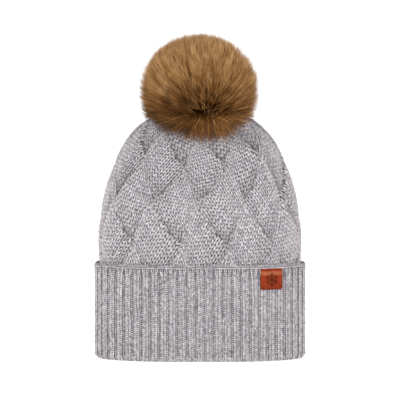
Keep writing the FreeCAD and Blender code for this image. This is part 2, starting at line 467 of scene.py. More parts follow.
def add_node(tree, kind, **values):
    """A node with its sockets or settings filled in."""
    node = tree.nodes.new(kind)
    for key, value in values.items():
        if key in node.inputs:
            node.inputs[key].default_value = value
        else:
            setattr(node, key, value)
    return node


def ramp(tree, stops, source):
    """A colour ramp with stops of (position, colour)."""
    node = tree.nodes.new("ShaderNodeValToRGB")
    while len(node.color_ramp.elements) < len(stops):
        node.color_ramp.elements.new(0.5)
    for element, (position, colour) in zip(node.color_ramp.elements, stops):
        element.position = position
        element.color = (*colour, 1.0)
    tree.links.new(source, node.inputs["Fac"])
    return node.outputs["Color"]


def own_space(tree):
    """Coordinates in the piece's own space, in metres."""
    return tree.nodes.new("ShaderNodeTexCoord").outputs["Object"]


def noise(tree, scale, detail, roughness, stretch=None):
    """Noise in the piece's own space, scaled per metre, stretched if asked."""
    source = own_space(tree)
    if stretch:
        mapping = add_node(tree, "ShaderNodeMapping", Scale=stretch)
        tree.links.new(source, mapping.inputs["Vector"])
        source = mapping.outputs["Vector"]
    node = add_node(tree, "ShaderNodeTexNoise", Scale=scale, Detail=detail, Roughness=roughness)
    tree.links.new(source, node.inputs["Vector"])
    return node.outputs["Fac"]


def multiply(tree, factor, first, second):
    """A colour multiplied by another, as far as the factor says."""
    node = add_node(tree, "ShaderNodeMix", data_type="RGBA", blend_type="MULTIPLY")
    node.inputs[0].default_value = factor
    tree.links.new(first, node.inputs[6])
    tree.links.new(second, node.inputs[7])
    return node.outputs[2]


def point_colour(tree, name):
    """The colour attribute that a mesh carries under this name."""
    return add_node(tree, "ShaderNodeVertexColor", layer_name=name).outputs["Color"]


def bump(tree, height, strength, distance, normal=None):
    """A bumped normal, over another one if given; distance is in metres."""
    node = add_node(tree, "ShaderNodeBump", Strength=strength, Distance=distance)
    tree.links.new(height, node.inputs["Height"])
    if normal:
        tree.links.new(normal, node.inputs["Normal"])
    return node.outputs["Normal"]


def surface(material, colour, normal=None, **values):
    """The material with its colour, its normal and constants; a double word is written with a _."""
    tree = material.node_tree
    shader = tree.nodes["Principled BSDF"]
    tree.links.new(colour, shader.inputs["Base Color"])
    if normal:
        tree.links.new(normal, shader.inputs["Normal"])
    for key, value in values.items():
        shader.inputs[key.replace("_", " ")].default_value = value
    return material


def yarn_material(name, dark, mid, light, shaded=False):
    """Marled wool yarn with a soft bloom; shaded yarn is also multiplied by its stitches' shade
    attribute, mostly painted shade with some random tone.
    """
    material, tree = new_material(name)
    fibres = noise(tree, 1500.0, 5.0, 0.7)
    marl = noise(tree, 330.0, 3.0, 0.6)
    patches = noise(tree, 45.0, 3.0, 0.5)
    colour = ramp(tree, [(0.34, dark), (0.49, mid), (0.66, light)], marl)
    fleck = ramp(tree, [(0.32, (0.62, 0.61, 0.62)), (0.62, (1.0, 1.0, 1.0))], fibres)
    colour = multiply(tree, 0.55, colour, fleck)
    tone = ramp(tree, [(0.3, (0.90, 0.90, 0.90)), (0.7, (1.0, 1.0, 1.0))], patches)
    colour = multiply(tree, 0.7, colour, tone)
    if shaded:
        colour = multiply(tree, 1.0, colour, point_colour(tree, "shade"))
    return surface(material, colour, bump(tree, fibres, 0.5, 0.0006), Roughness=0.95,
                   Specular_IOR_Level=0.15, Sheen_Weight=0.25, Sheen_Roughness=0.6)


YARN = yarn_material("grey_marl_yarn", (0.33, 0.312, 0.325), (0.52, 0.495, 0.510), (0.72, 0.690, 0.708))
CUFF_YARN = yarn_material("grey_marl_cuff_yarn", (0.40, 0.371, 0.392), (0.60, 0.561, 0.587),
                          (0.80, 0.753, 0.785), True)
# the crown's yarn is a darker copy of the cuff's: painted shade, as the crown catches more light than the
# cuff
CROWN_YARN = yarn_material("grey_marl_crown_yarn", (0.40, 0.371, 0.392), (0.57, 0.532, 0.557),
                           (0.71, 0.668, 0.697), True)
# a dark copy of the yarn: painted shade in the gaps between stitches, on the skins and beds under them
YARN_PAINTED_SHADE = yarn_material("grey_marl_yarn_painted_shade", (0.11, 0.103, 0.108), (0.17, 0.161, 0.167),
                          (0.24, 0.228, 0.236))


def assign(piece, material):
    """The piece, with this as its only material."""
    piece.data.materials.clear()
    piece.data.materials.append(material)
    return piece


# --- knitted pieces --------------------------------------------------------


def set_colours(piece, name, values):
    """A colour attribute from one (r, g, b) or one grey value for each point."""
    values = np.asarray(values, dtype=np.float32)
    if values.ndim == 1:
        values = np.repeat(values[:, None], 3, axis=1)
    full = np.concatenate([values, np.ones((len(values), 1), dtype=np.float32)], -1)
    layer = piece.data.color_attributes.new(name, "FLOAT_COLOR", "POINT")
    layer.data.foreach_set("color", full.ravel())


def shade_stitches(piece, template, tone, seed, uneven=0.13, tuck=0.46):
    """Painted shade on stitches where their ends tuck under and along their lower sides; tone is one per
    copy.
    """
    local = template["points"]
    # painted shade at each leg's ends, where they tuck under
    ends = 1 - tuck * np.abs(2 * local[:, 1]) ** 2.6
    # painted shade on each leg's underside
    ring_middle = local[:, 2] - np.abs(local[:, 2]).max() * 0.35
    sides = 1 - 0.30 * (1 - smooth_step(ring_middle / 0.45 + 0.5))
    own = np.random.default_rng(seed).uniform(0.98 - uneven, 0.98 + uneven, len(tone))
    set_colours(piece, "shade", ((tone * own)[:, None] * (ends * sides)[None, :]).ravel())
    return piece


def yarn_radius(along):
    """Thickness of a stitch's leg along its length: full in the middle, thin at the ends."""
    return 0.42 + 0.58 * math.sin(math.pi * along) ** 0.6


CROWN_LEG = strand_template(6, 5, yarn_radius, 0.28)
CUFF_LEG = strand_template(5, 4, yarn_radius, 0.30)
PURL_BUMP = strand_template(5, 4, yarn_radius, 0.55)
LEG_SLANT = math.radians(18)            # of each leg of a V stitch
LEG_APART = 0.25                        # from the middle of the wale, in wale widths
LEG_WIDE = 0.42                         # in wale widths
LEG_LONG = 1.34                         # in course heights


def legs_on(centres, along, out, wale_width, course_height, template, plump, seed):
    """Both legs of V shaped stitches at centres, pointing along the wale."""
    wobble = np.random.default_rng(seed)
    across = unit(np.cross(along, out))
    count = len(centres)
    placed = []
    for side in (-1, 1):
        slant = LEG_SLANT + wobble.normal(0, 0.09, count)
        lean = np.cos(slant)[:, None] * along + side * np.sin(slant)[:, None] * across
        middle = centres + side * across * (wale_width * LEG_APART)[:, None]
        middle = middle + out * wobble.normal(0, 0.14, count)[:, None]
        lean = unit(lean)
        sideways = unit(np.cross(lean, out))
        width = wale_width * LEG_WIDE * plump * wobble.uniform(0.88, 1.10, count)
        length = course_height * LEG_LONG * wobble.uniform(0.92, 1.08, count)
        placed.append(place(template, middle, sideways, lean, out, width, length, width))
    return np.concatenate(placed)


def list_strands():
    """Every visible strand of the cable as (corners, puff)."""
    wobble = np.random.default_rng(7)
    rows = len(CROSSING_ARC) - 3
    jitter = wobble.normal(0, 1, (rows + 4, CABLES, 2)) * ROW_JITTER
    strands = []
    for row in range(-1, rows):
        for column in range(CABLES):
            strands.append((strand_corners(column, row, jitter), wobble.normal(0, 0.3)))
    return strands


STRANDS = list_strands()


def crown_tone(across, along, wales, courses, height):
    """Lightness of the cable's stitches: painted shade in the creases and along the tucked edges, and the
    pom's painted shadow under it.
    """
    crease = strand_crease(across, along)
    # painted shade along the tucked side and the tucked end of each strand
    side_line = np.exp(-((1 - across) * wales / 0.9) ** 2) * np.clip(1 - along, 0, 1)
    end_line = np.exp(-(np.clip(along, 0, 1) * courses / 0.9) ** 2) * np.clip(across, 0, 1)
    # painted shade in the creases, more of it high up, and the pom's painted shadow above POM_SHADE
    high_up = smooth_step((height - 165) / 45)
    tone = (1 - (0.085 + 0.045 * high_up) * crease) * (1 - 0.18 * smooth_step((height - POM_SHADE) / 25))
    return np.maximum(tone, 0.2) * (1 - 0.58 * side_line) * (1 - 0.50 * end_line)


def strand_stitches(corners, puff):
    """Centres, directions and sizes of the stitches of one strand."""
    step = 0.01

    def at(side, onward):
        """The strand's face at a place on it, with its share and arc."""
        share, arc = strand_field(corners, side, onward)
        return crown_point(share, arc, strand_relief(side, onward, puff) + knit_face(arc)), share, arc

    def size(across, along):
        """The face again, its two directions, and the strand's width and length there."""
        here = at(across, along)[0]
        forward = (at(across, along + step)[0] - here) / step
        sideways = (at(across + step, along)[0] - here) / step
        length = np.linalg.norm(forward, axis=-1)
        area = np.linalg.norm(np.cross(sideways, forward), axis=-1)
        return here, forward, sideways, area / length, length

    _, _, _, wide, tall = size(np.array([0.3, 0.5, 0.7]), np.array([0.5, 0.5, 0.5]))
    wales = int(np.clip(round(wide.mean() / STITCH_WIDE), 3, 9))
    courses = int(np.clip(round(tall.mean() / STITCH_TALL), 5, 18))
    across, along = np.meshgrid(np.arange(-0.5, wales) / wales, np.arange(-0.5, courses + 1) / courses)
    along = along + 0.4 * (across * wales - 0.5) / courses % (1 / courses) - 0.5 / courses
    across, along = across.ravel(), along.ravel()
    centre, forward, sideways, width, height = size(across, along)
    _, share, arc = at(across, along)
    width, height = width / wales, height / courses
    forward = unit(forward)
    base_out = sample(TABLE_NORMAL, share, arc)
    out = unit(np.cross(sideways, forward))
    out = np.where((out * base_out).sum(-1, keepdims=True) < 0, -out, out)
    out = unit(out + 0.6 * base_out)
    keep = (width > 0.5) & (height > 0.4) & (arc < ARC_TOP - SNAP_ROOM) & (centre[:, 2] > CUFF_TOP - 10)
    thin = 1 - 0.055 * strand_crease(across, along) - 0.13 * smooth_step((arc - 150) / 30)
    tone = crown_tone(across, along, wales, courses, centre[:, 2])
    width = np.minimum(width, STITCH_LIMIT[0])
    height = np.minimum(height, STITCH_LIMIT[1])
    return centre[keep], forward[keep], out[keep], width[keep], height[keep], thin[keep], tone[keep]


def make_crown_stitches():
    """Every stitch of the basket weave cable, in four quarters of the crown."""
    batches = [strand_stitches(*strand) for strand in STRANDS]
    centre, forward, out, width, height, thin, tone = [np.concatenate(part) for part in zip(*batches)]
    share_angle = np.arctan2(centre[:, 0], -centre[:, 1])
    sector = np.floor((share_angle + math.pi) / (2 * math.pi) * 4).astype(int) % 4
    pieces = []
    for number, label in enumerate(("back_left", "front_left", "front_right", "back_right")):
        pick = sector == number
        placed = legs_on(centre[pick], forward[pick], out[pick], width[pick], height[pick],
                         CROWN_LEG, thin[pick], 20 + number)
        piece = assign(copies("crown_stitches_" + label, CROWN_LEG, placed), CROWN_YARN)
        pieces.append(shade_stitches(piece, CROWN_LEG, np.tile(tone[pick], 2), 40 + number))
    return pieces


def knit_inside(arc):
    """Where the crown's inner skin lies, with room near the hole for the snap's cap to lean."""
    deeper = 2.6 * smooth_step((arc - 96.0) / 12.0)               # above the cuff's layers
    shallower = 3.2 * smooth_step((arc - ARC_TOP + 36.0) / 14.0)  # round the hole
    return -5.0 - deeper + shallower


def make_crown_fabric():
    """The skin under the crown's stitches, in dark yarn as painted shade between them, and the purl side
    of the knit inside the hat.
    """
    share, arc = round_grid(440, np.linspace(CUFF_TOP - 8, ARC_TOP, 100))
    inside = knit_inside(arc)
    bumps = np.cos(share * 110 * 2 * math.pi) * np.cos(arc / 3.3 * math.pi)
    faces = [crown_point(share, arc, inside + lift) for lift in (1.0, 0.55, 0.45, 0.35 * bumps)]
    skin = assign(grid_shell("crown_fabric", faces[0], faces[1], True), YARN_PAINTED_SHADE)
    return [skin, assign(grid_shell("crown_purl_side", faces[2], faces[3], True), YARN)]


def make_strand_beds():
    """The bed of each cable strand, just under its stitches: what shows between them, in dark yarn as
    painted shade.
    """
    columns, lines = 22, 26
    across, along = np.meshgrid(np.linspace(-0.06, 1.0, columns), np.linspace(-0.03, 1.03, lines))
    index = np.arange(columns * lines).reshape(lines, columns)
    count = columns * lines
    face = np.stack([index[:-1, :-1], index[:-1, 1:], index[1:, 1:], index[1:, :-1]], -1).reshape(-1, 4)
    rim = np.concatenate([index[0, :], index[1:, -1], index[-1, -2::-1], index[-2:0:-1, 0]])
    rim_next = np.roll(rim, -1)
    wall = np.stack([rim, rim + count, rim_next + count, rim_next], -1)
    faces = np.concatenate([face, face[:, ::-1] + count, wall])
    points, quads = [], []
    for corners, puff in STRANDS:
        share, arc = strand_field(corners, across, along)
        if arc.max() < CUFF_TOP - 6:
            continue
        relief = strand_relief(across, along, puff) + knit_face(arc)
        arc = np.maximum(arc, CUFF_TOP - 12)
        relief = np.maximum(relief, knit_inside(arc) + 2.9)
        top = crown_point(share, arc, relief - 1.3)
        foot = crown_point(share, arc, relief - 2.1)
        quads.append(faces + len(points) * 2 * count)
        points.append(np.concatenate([top.reshape(-1, 3), foot.reshape(-1, 3)]))
    piece = quad_mesh("crown_strand_beds", np.concatenate(points), np.concatenate(quads))
    return assign(piece, YARN_PAINTED_SHADE)


CUFF_LENGTH = BASE_LENGTH * 1.045       # round the outside of the cuff
RIBS = int(round(CUFF_LENGTH / 9.18))
RIB_WIDE = CUFF_LENGTH / RIBS
RIB_DEPTH = 1.45                        # of the sunken wales under the raised ones
COURSE = 2.05                           # height of one knitted course on the cuff
PAST_RIM = 26                           # stitches go on this far round the rim
TURN_RADIUS = (CUFF_GROW + KNIT) / 2    # of the fold at the rim, outside
TURN_START = CUFF_TOP - TURN_RADIUS     # travel from the selvedge to the fold
TURN_END = TURN_START + math.pi * TURN_RADIUS


def cuff_path(travel):
    """Offset, height and outward direction along the cuff's path: down, round, up."""
    middle = (CUFF_GROW - KNIT) / 2
    travel = np.asarray(travel, dtype=float)
    angle = np.clip((travel - TURN_START) / TURN_RADIUS, 0, math.pi)
    offset = middle + TURN_RADIUS * np.cos(angle)
    height = TURN_RADIUS - TURN_RADIUS * np.sin(angle)
    height = np.where(travel < TURN_START, CUFF_TOP - travel, height)
    height = np.where(travel > TURN_END, TURN_RADIUS + travel - TURN_END, height)
    out_side = np.cos(angle)
    out_up = -np.sin(angle)
    return offset, height, out_side, out_up


TUBE_NORMAL = unit(np.stack([
    np.roll(BASE_RING[:, 1], -1) - np.roll(BASE_RING[:, 1], 1),
    -(np.roll(BASE_RING[:, 0], -1) - np.roll(BASE_RING[:, 0], 1)),
    np.zeros(AROUND)], -1))


def cuff_point(share, travel, proud):
    """A point on the cuff's path, standing proud of the fabric's face."""
    offset, height, out_side, out_up = cuff_path(travel)
    ring = read_ring(np.concatenate([BASE_RING, np.zeros((AROUND, 1))], -1), share)
    sideways = unit(read_ring(TUBE_NORMAL, share))
    out = sideways * out_side[..., None] + np.array([0, 0, 1.0]) * out_up[..., None]
    point = ring + sideways * offset[..., None]
    point[..., 2] = height
    return point + out * np.asarray(proud)[..., None], out


def rib_opening(travel):
    """How far the sunken wales have opened: closed at the selvedge, open a little below."""
    return smooth_step((travel - 1.2) / 10.0)


def rib_relief(share, travel):
    """Depth of the 2x2 rib: raised pairs of wales and sunken pairs, closed at the edge."""
    phase = np.abs(np.mod(share * RIBS + 0.5, 1.0) - 0.5) * 2
    edge = 0.50 + 0.45 * (1 - rib_opening(travel))
    valley = smooth_step((phase - edge) / 0.20)
    depth = RIB_DEPTH * (1 + 0.2 * smooth_step((travel - CUFF_TOP + 16) / 12.0))
    centre_split = np.exp(-(phase / 0.08) ** 2)
    return -(depth * valley + centre_split)


def under_edge(way):
    """Lightness of stitches that the bound-off edge shades."""
    return 1 - 0.34 * np.exp(-(way / 3.2) ** 2)


def knit_wales(label, centre, down, out, side, way, seed):
    """V stitches of the raised wales, with painted shade along the split of each rib."""
    closed = 1 - rib_opening(way)
    width = RIB_WIDE * (0.254 + 0.146 * closed)
    plump = 1.22 - 0.32 * closed
    placed = legs_on(centre, -down, out, width, np.full(len(way), COURSE), CUFF_LEG, plump, seed)
    piece = assign(copies("cuff_knit_wales_" + label, CUFF_LEG, placed), CUFF_YARN)
    split_leg = np.concatenate([side > 0, side < 0])
    tone = np.where(split_leg, 0.96, 1.06) * np.tile(under_edge(way), 2)
    return shade_stitches(piece, CUFF_LEG, tone, seed, 0.26, 0.62)


def purl_bumps(label, centre, down, out, side, way, seed, wobble):
    """Bumps across the sunken wales, with painted shade a few courses under the edge, where the sunken
    wales open.
    """
    count = len(way)
    across = unit(np.cross(down, out))
    tilt = (0.35 * side + wobble.normal(0, 0.2, count))[:, None]
    lay = unit(across + tilt * down)
    length = RIB_WIDE * 0.25 * wobble.uniform(0.85, 1.1, count)
    thick = COURSE * 0.76 * wobble.uniform(0.80, 1.12, count)
    placed = place(PURL_BUMP, centre, unit(np.cross(lay, out)), lay, out, thick, length, thick)
    piece = assign(copies("cuff_purl_bumps_" + label, PURL_BUMP, placed), CUFF_YARN)
    notch_shade = (1.04 - 0.48 * np.exp(-((way - 6.0) / 3.5) ** 2)) * under_edge(way)
    return shade_stitches(piece, PURL_BUMP, notch_shade, seed, 0.28, 0.60)


def cuff_quarter(quarter, label, purl):
    """Knit wales or purl bumps of a quarter of the cuff, from the selvedge round the rim."""
    travel = (np.arange(int((CUFF_TOP + PAST_RIM) / COURSE)) + 0.9) * COURSE
    shares = np.repeat(np.arange(RIBS), 2) / RIBS + 0.5 * purl / RIBS
    here = np.floor(np.mod(shares + 0.25, 1.0) * 4).astype(int) == quarter
    left_right = np.tile([-1.0, 1.0], RIBS)[here]
    seed = 60 + quarter * 2 + purl
    wobble = np.random.default_rng(seed)
    share, way = np.meshgrid(shares[here], travel)
    way = way + wobble.uniform(-0.2, 0.2, here.sum())[None, :] * COURSE
    way = way + 0.25 * left_right[None, :] * purl * COURSE
    way = np.maximum(way + 0.35 * noise_wave(way / 9.0 + share * 70, seed), 1.2)
    share, way = share.ravel(), way.ravel()
    side = np.tile(left_right, len(travel))
    closed = 1 - rib_opening(way)
    apart = 0.110 - 0.04 * closed if purl else 0.149 + 0.091 * closed
    share = share + side * apart / RIBS
    share = share + 0.05 * noise_wave(way / 14.0 + share * 40, 5) / RIBS
    sink = 0.75 + 2.6 * closed * purl
    centre, out = cuff_point(share, way, rib_relief(share, way) - sink)
    ahead, _ = cuff_point(share, way + 0.2, rib_relief(share, way + 0.2) - sink)
    down = unit(ahead - centre)
    if purl:
        return purl_bumps(label, centre, down, out, side, way, seed, wobble)
    return knit_wales(label, centre, down, out, side, way, seed)


def make_cuff_stitches():
    """All stitches of the 2x2 rib, in four quarters."""
    labels = ("front_left", "front_right", "back_right", "back_left")
    return [cuff_quarter(quarter, label, purl) for quarter, label in enumerate(labels)
            for purl in (False, True)]


def make_selvedge():
    """The bound-off edge along the top of the cuff: a chain lying on its side."""
    count = RIBS * 4
    share = np.arange(count) / count
    pieces = []
    for row, (travel, proud, rise) in enumerate(((0.3, -1.1, 0.1), (1.5, -0.7, -0.1))):
        way = np.full(count, travel)
        stands = proud + 0.35 * noise_wave(share * 160, 7 + row)
        way = way + 0.35 * noise_wave(share * 120, 3 + row)
        centre, out = cuff_point(share, way, stands)
        ahead, _ = cuff_point(share + 0.001, way, stands)
        along = unit(ahead - centre)
        out = unit(out + np.array([0, 0, 0.5 if row == 0 else 0.0]))
        side = unit(np.cross(along, out))
        lay = unit(along + (0.42 + rise) * side)
        length = np.full(count, CUFF_LENGTH / count * 1.45)
        thick = np.full(count, 1.25)
        placed = place(CUFF_LEG, centre, unit(np.cross(lay, out)), lay, out, thick, length, thick)
        piece = assign(copies("cuff_selvedge_%d" % (row + 1), CUFF_LEG, placed), CUFF_YARN)
        # painted shadow of the gap between crown and cuff, darkest on the top row
        tone = np.full(count, 0.64 + 0.18 * row)
        pieces.append(shade_stitches(piece, CUFF_LEG, tone, 30 + row, 0.30, 0.62))
    return pieces


def make_cuff_fabric():
    """The skin under the cuff's stitches, in dark yarn as painted shade between them: the turned-up layer
    and the U turn.
    """
    travel = [np.linspace(0.6, 6, 8), np.linspace(8, 84, 20), np.linspace(86, TURN_END + 6, 18)]
    share, way = round_grid(RIBS * 12, np.concatenate(travel))
    outer, _ = cuff_point(share, way, rib_relief(share, way) - 1.5)
    back = np.clip(way, 0, TURN_START)
    inner, _ = cuff_point(share, way, np.full(way.shape, -CUFF_GROW + 0.7))
    inner[..., 2] = np.where(way > back, np.maximum(inner[..., 2], 4.0), inner[..., 2])
    return assign(grid_shell("cuff_fabric", outer, inner, True), YARN_PAINTED_SHADE)


def make_band_fabric():
    """The layer of rib under the fold, with its ribs towards the head."""
    share, way = round_grid(RIBS * 10, np.linspace(TURN_END + 3, TURN_END + CUFF_TOP - 4, 80))
    courses = 0.25 * np.cos(way / COURSE * 2 * math.pi)
    inside, _ = cuff_point(share, way, rib_relief(share, way) * 0.55 + courses - 0.5)
    hidden, _ = cuff_point(share, way, np.full(way.shape, -KNIT + 0.4))
    return assign(grid_shell("band_fabric", inside, hidden, True), YARN)


def grain_material(name, grain, dark, light, relief, **values):
    """Two colours and a bump from one noise: grain is the noise, relief the bump's size."""
    material, tree = new_material(name)
    pattern = noise(tree, *grain)
    return surface(material, ramp(tree, [dark, light], pattern), bump(tree, pattern, *relief), **values)


def thread_material(name, dark, light):
    """Spun thread: fine diagonal plies with a slight shine."""
    return grain_material(name, (900.0, 3.0, 0.6, (1.0, 1.0, 2.2)), (0.35, dark), (0.65, light),
                          (0.5, 0.0003), Roughness=0.7)


def make_seam():
    """The linked seam inside the hat: a chain of stitches on a narrow bed, up the back."""
    pitch = 3.1
    low = seam_low[2]
    rise = np.interp(seam_high[2], TABLE[:400, AROUND // 2, 2], TABLE_ARC[:400])
    arc = np.arange(low + 1.5, rise - 1.5, pitch)
    share = np.full(len(arc), 0.5)
    proud = -(KNIT + 0.3 + 0.9)
    centre = crown_point(share, arc, np.full(len(arc), proud))
    ahead = crown_point(share, arc + 0.5, np.full(len(arc), proud))
    out = -sample(TABLE_NORMAL, share, arc)
    wide = np.full(len(arc), seam_high[0] - seam_low[0] - 0.6)
    placed = legs_on(centre, unit(ahead - centre), out, wide, np.full(len(arc), pitch),
                     CROWN_LEG, 0.82, 90)
    chain = assign(copies("seam_chain", CROWN_LEG, placed), YARN)
    sides = np.array([-2.1, -1.4, -0.5, 0.5, 1.4, 2.1])
    way = np.linspace(low, rise, 90)
    grid_share, grid_arc = np.meshgrid(0.5 - sides / BASE_LENGTH, way)
    inner = crown_point(grid_share, grid_arc, np.full(grid_arc.shape, -(KNIT + 1.1)))
    outer = crown_point(grid_share, grid_arc, np.full(grid_arc.shape, -(KNIT + 0.4)))
    bed = assign(grid_shell("seam_bed", outer, inner, False), YARN)
    return [chain, bed]


def ring_of_plies(name, low, high, turns, material):
    """A ring of two-ply yarn in a box: each ply winds round the ring's centre line."""
    thickness = (high[2] - low[2]) / 2 * 0.95
    radius = high[0] - (high[2] - low[2]) / 2
    height = (high[2] + low[2]) / 2
    offset = thickness * 0.46
    pieces = []
    angle = 2 * math.pi * np.arange(220) / 220
    for ply in range(2):
        twist = angle * turns + math.pi * ply
        reach = radius + offset * np.cos(twist) + 0.12 * np.sin(5 * angle + ply)
        rise = height + offset * np.sin(twist)
        path = np.stack([reach * np.cos(angle), reach * np.sin(angle), rise], -1)
        yarn = tube("%s_ply_%d" % (name, ply + 1), path, thickness * 0.56, 8, True)
        pieces.append(assign(yarn, material))
    return pieces


def felt_material():
    """Grey wool felt: matted clumps with paler and darker fibres."""
    material, tree = new_material("wool_felt")
    fibres = noise(tree, 1400.0, 6.0, 0.8)
    clumps = noise(tree, 260.0, 4.0, 0.6)
    colour = ramp(tree, [(0.3, (0.16, 0.155, 0.16)), (0.7, (0.30, 0.29, 0.30))], clumps)
    fleck = ramp(tree, [(0.35, (0.7, 0.7, 0.7)), (0.65, (1.0, 1.0, 1.0))], fibres)
    return surface(material, multiply(tree, 0.8, colour, fleck), bump(tree, fibres, 0.7, 0.0005),
                   Roughness=1.0, Sheen_Weight=0.4)


def make_felt():
    """The felt disc under the snap, with rounded edges."""
    outer, inner = (felt_high[0] - felt_low[0]) / 2, POST_HOLE
    low, high = felt_low[2], felt_high[2]
    middle = (low + high) / 2
    flat = np.linspace(inner, outer - 0.4, 14)
    profile = [(radius, high - 0.1) for radius in flat]
    profile += [(outer - 0.1, high - 0.4), (outer, middle), (outer - 0.1, low + 0.4)]
    profile += [(radius, low + 0.1) for radius in flat[::-1]]
    profile.append((inner - 0.2, middle))
    return assign(lathe("felt_disc", profile, 120, 0.05, 31), felt_material())


def metal_material():
    """Nickel plated brass: fine turning marks and a few dull patches."""
    material, tree = new_material("snap_nickel")
    marks = noise(tree, 2500.0, 4.0, 0.7, (1.0, 1.0, 8.0))
    patches = noise(tree, 300.0, 3.0, 0.6)
    rough = add_node(tree, "ShaderNodeMapRange", **{"To Min": 0.22, "To Max": 0.42})
    tree.links.new(patches, rough.inputs["Value"])
    tree.links.new(rough.outputs["Result"], tree.nodes["Principled BSDF"].inputs["Roughness"])
    tone = ramp(tree, [(0.3, (0.55, 0.54, 0.52)), (0.7, (0.68, 0.67, 0.65))], patches)
    return surface(material, tone, bump(tree, marks, 0.15, 0.0002), Metallic=1.0)


def give_material(node, material):
    """A better material on a CAD part that keeps its own mesh."""
    for slot in bpy.data.objects[node].material_slots:
        slot.material = material


def leather_material():
    """Red-brown tanned leather: fine pebbled grain, tinted per point: dark in the emblem and at the
    edges, with a painted highlight where the top bends.
    """
    material, tree = new_material("tan_leather")
    grain = add_node(tree, "ShaderNodeTexVoronoi", Scale=1700.0)
    tree.links.new(own_space(tree), grain.inputs["Vector"])
    cloud = noise(tree, 160.0, 5.0, 0.65)
    colour = ramp(tree, [(0.25, (0.18, 0.020, 0.0029)), (0.55, (0.26, 0.032, 0.0053)),
                         (0.8, (0.35, 0.053, 0.0100))], cloud)
    pores = ramp(tree, [(0.0, (1.0, 1.0, 1.0)), (0.6, (0.78, 0.74, 0.72))], grain.outputs["Distance"])
    colour = multiply(tree, 0.8, colour, pores)
    colour = multiply(tree, 1.0, colour, point_colour(tree, "tint"))
    pebbles = bump(tree, grain.outputs["Distance"], 0.35, 0.0003)
    return surface(material, colour, bump(tree, cloud, 0.2, 0.0008, pebbles),
                   Roughness=0.6, Specular_IOR_Level=0.1)


def cuff_front(x, height, proud):
    """A point in front of the cuff at a given X and height, standing proud of its face."""
    share = np.linspace(-0.25, 0.25, 361)
    way = np.full(share.shape, CUFF_TOP / 2)
    ring = cuff_point(share, way, np.zeros(share.shape))[0]
    at = np.interp(x, ring[:, 0], share)
    return cuff_point(at, CUFF_TOP - height, proud)[0]


def emblem_depth(x, z):
    """How deep the label's pressed mark is: a plain six armed snowflake."""
    depth = np.zeros_like(x)
    for arm in range(6):
        angle = math.pi / 6 + arm * math.pi / 3
        along = x * math.cos(angle) + z * math.sin(angle)
        away = np.abs(-x * math.sin(angle) + z * math.cos(angle))
        stem = np.where(along > 0, away, np.hypot(along, away))
        stem = np.where(along > 6.0, np.hypot(along - 6.0, away), stem)
        branch_along = along - 3.4 - away * 0.75
        branch = np.where(away < 2.1, np.abs(branch_along) * 0.8, 9.0)
        distance = np.minimum(stem, branch)
        depth = np.maximum(depth, smooth_step((1.0 - distance) / 0.6))
    return depth


def label_tint(rise, mark, rounding):
    """The leather's tint: dark in the mark, at the edges and low down, with a painted highlight in a band
    where the top bends into the knit.
    """
    shade = (1.0 - 0.62 * mark) * (0.78 + 0.22 * rounding)
    shade = shade * (1 - 0.26 * smooth_step((-rise - 0.3) / 0.6))
    bend_highlight = smooth_step((rise - 0.26) / 0.24) * (1 - smooth_step((rise - 0.66) / 0.18))
    return shade[..., None] * (1 + bend_highlight[..., None] * np.array([0.34, 2.1, 7.0]))


def make_label():
    """The square leather tab: rounded edges, a pressed mark, its top drawn into the knit."""
    size = 112
    across = np.sin(np.linspace(-0.5, 0.5, size) * math.pi * 0.94) / math.sin(math.pi * 0.47)
    a, b = np.meshgrid(across, across)
    centre = (label_low + label_high) / 2
    half = (label_high - label_low) / 2
    half_x, half_z = half[0] - 0.15, half[2]
    x = centre[0] + half_x * a * (1 - 0.022 * np.abs(b) ** 8)
    z = centre[2] + half_z * b * (1 - 0.022 * np.abs(a) ** 8)
    edge = np.minimum(1 - np.abs(a), 1 - np.abs(b)) * half_x
    rounding = 1 - np.exp(-edge / 0.45)
    mark = emblem_depth((x - centre[0]), (z - centre[2] + 0.6))
    wave = 0.16 * np.sin(a * 2.2 + 0.6) * np.cos(b * 1.7)
    tuck = 0.9 * smooth_step((b - 0.72) / 0.28)
    back = 0.25 - 0.35 * smooth_step((b - 0.72) / 0.28)
    thick = 1.45
    face = back + 0.35 + (thick - 0.35) * rounding - 0.42 * mark - 0.55 * tuck + wave * 0.5
    outer = cuff_front(x, z, face)
    inner = cuff_front(x, z, back)
    label = grid_shell("leather_tab", outer, inner, False)
    shade = label_tint(b, mark, rounding).reshape(-1, 3)
    set_colours(label, "tint", np.concatenate([shade, shade * 0.8]))
    return assign(label, leather_material())


def satin_material():
    """Blank woven satin: fine ribs with a few thick threads."""
    material, tree = new_material("care_satin_weave")
    weave = add_node(tree, "ShaderNodeTexWave", Scale=900.0, bands_direction="Z")
    tree.links.new(own_space(tree), weave.inputs["Vector"])
    slub = noise(tree, 500.0, 3.0, 0.5, (1.0, 1.0, 0.15))
    colour = ramp(tree, [(0.3, (0.80, 0.79, 0.76)), (0.7, (0.88, 0.87, 0.85))], slub)
    return surface(material, colour, bump(tree, weave.outputs["Fac"], 0.3, 0.0002),
                   Roughness=0.35, Sheen_Weight=0.3)


